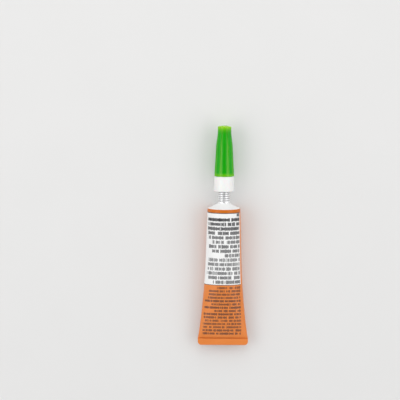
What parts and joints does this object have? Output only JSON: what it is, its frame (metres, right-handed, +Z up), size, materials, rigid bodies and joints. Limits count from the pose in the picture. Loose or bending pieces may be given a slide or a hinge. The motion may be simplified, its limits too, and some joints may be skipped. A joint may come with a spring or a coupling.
{
  "type": "super glue tube",
  "caption": "Squeezable metal tube of super glue gel with a folded tail, a threaded neck, a screw-on piercing nozzle and a fluted push-on cap.",
  "frame": {"origin": "middle of the part's length and width, on the table that the sleeve lies on", "axes": "+Y along the neck towards the cap, +Z up out of the table and out of the printed front, +X across the flattened tail"},
  "size_m": [0.0292, 0.128, 0.0189],
  "materials": {
    "printed_aluminium": "satin print over bare metal",
    "bare_aluminium": "bright",
    "sealing_compound": "matte",
    "gel": "wet",
    "white_plastic": "satin",
    "green_plastic": "semi-gloss"
  },
  "bodies": {
    "tube_body": {"tube": "printed_aluminium", "seal_membrane": "bare_aluminium", "end_seal": "sealing_compound", "glue_gel": "gel"},
    "nozzle_body": {"nozzle": "white_plastic"},
    "cap_body": {"cap": "green_plastic"}
  },
  "joints": [
    {"name": "nozzle_screw", "type": "slide", "parent": "tube_body", "child": "nozzle_body", "axis": [0, 1, 0], "range_m": [-0.0068, 0.01], "deforming": ["seal_membrane"]},
    {"name": "cap_pull", "type": "slide", "parent": "nozzle_body", "child": "cap_body", "axis": [0, 1, 0], "range_m": [0, 0.035]}
  ]
}
